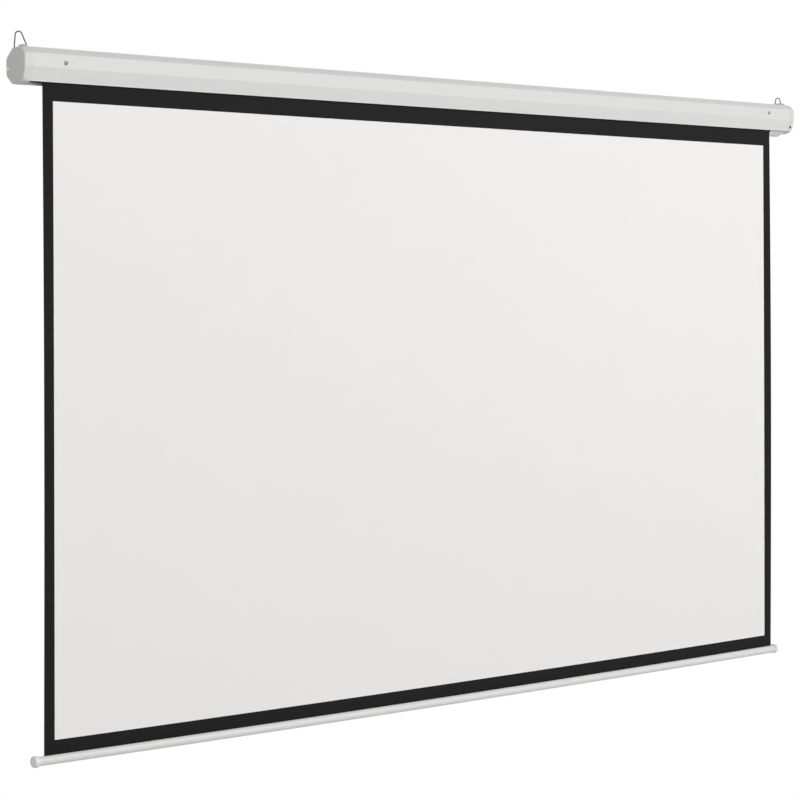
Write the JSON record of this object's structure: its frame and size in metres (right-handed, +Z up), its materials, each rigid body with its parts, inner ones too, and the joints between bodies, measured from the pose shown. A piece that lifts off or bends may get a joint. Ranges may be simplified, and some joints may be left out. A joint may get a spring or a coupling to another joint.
{
  "type": "motorised projector screen",
  "caption": "Motorised roll-up projector screen, shown lowered: white steel case with rounded end caps, wire hanging loops, black-bordered matte screen and a round weight bar.",
  "frame": {"origin": "centre of the flat back of the case, on the wall plane", "axes": "+X along the case to the viewer's right, +Y into the wall, +Z up"},
  "size_m": [2.408, 0.0695, 1.4312],
  "materials": {
    "case_paint": "white powder coat",
    "cap_plastic": "satin moulded",
    "bracket_paint": "warm white powder coat",
    "zinc_steel": "zinc plated",
    "bright_steel": "bright",
    "wire_steel": "dark drawn wire",
    "roller_aluminium": "extruded",
    "black_plastic": "moulded",
    "grey_plastic": "moulded",
    "bush_brass": "turned",
    "screen_white": "matte white",
    "screen_black": "matte black"
  },
  "bodies": {
    "case": {"case_shell": "case_paint", "left_end_cap": "cap_plastic", "right_end_cap": "cap_plastic", "left_bracket": "bracket_paint", "right_bracket": "bracket_paint", "left_case_screw": "bright_steel", "right_case_screw": "bright_steel", "left_cap_screw": "bright_steel", "right_cap_screw": "bright_steel", "right_cap_side_screw": "wire_steel", "idler_pin": "bright_steel", "motor_head": "black_plastic", "motor_tube": "zinc_steel", "motor_gearbox": "grey_plastic", "motor_stator": "bright_steel", "motor_brake": "grey_plastic", "motor_capacitor": "grey_plastic", "head_screw_front": "bright_steel", "head_screw_rear": "bright_steel", "cable_gland": "black_plastic", "cable_gland_nut": "black_plastic", "screen_fabric": "screen_white"},
    "roller": {"roller_tube": "roller_aluminium", "idler_plug": "black_plastic", "idler_bush": "bush_brass", "drive_wheel": "black_plastic", "crown_wheel": "black_plastic", "motor_shaft": "bright_steel", "fabric_wraps": "screen_white"},
    "bar": {"screen_hem": "screen_black", "hem_rod": "bright_steel", "weight_bar": "case_paint", "left_bar_cap": "cap_plastic", "right_bar_cap": "cap_plastic"},
    "left_loop": {"left_hanging_loop": "wire_steel"},
    "right_loop": {"right_hanging_loop": "wire_steel"},
    "up_limit": {"up_limit_screw": "bush_brass"},
    "down_limit": {"down_limit_screw": "bush_brass"}
  },
  "joints": [
    {"name": "roller_turn", "type": "hinge", "parent": "case", "child": "roller", "pos_m": [0, -0.0335, 0], "axis": [-1, 0, 0], "range_deg": [0, 3330]},
    {"name": "bar_lift", "type": "slide", "parent": "case", "child": "bar", "axis": [0, 0, 1], "range_m": [0, 1.2965], "deforming": ["screen_fabric"]},
    {"name": "left_loop_lift", "type": "slide", "parent": "case", "child": "left_loop", "axis": [0, 0, 1], "range_m": [-0.0116, 0]},
    {"name": "right_loop_lift", "type": "slide", "parent": "case", "child": "right_loop", "axis": [0, 0, 1], "range_m": [0, 0.0116]},
    {"name": "up_limit_turn", "type": "hinge", "parent": "case", "child": "up_limit", "pos_m": [1.178, -0.042, 0.007], "axis": [1, 0, 0], "continuous": true},
    {"name": "down_limit_turn", "type": "hinge", "parent": "case", "child": "down_limit", "pos_m": [1.178, -0.025, 0.007], "axis": [1, 0, 0], "continuous": true}
  ],
  "couplings": [
    {"joint": "bar_lift", "follows": "roller_turn", "m_per_rad": 0.0223}
  ]
}
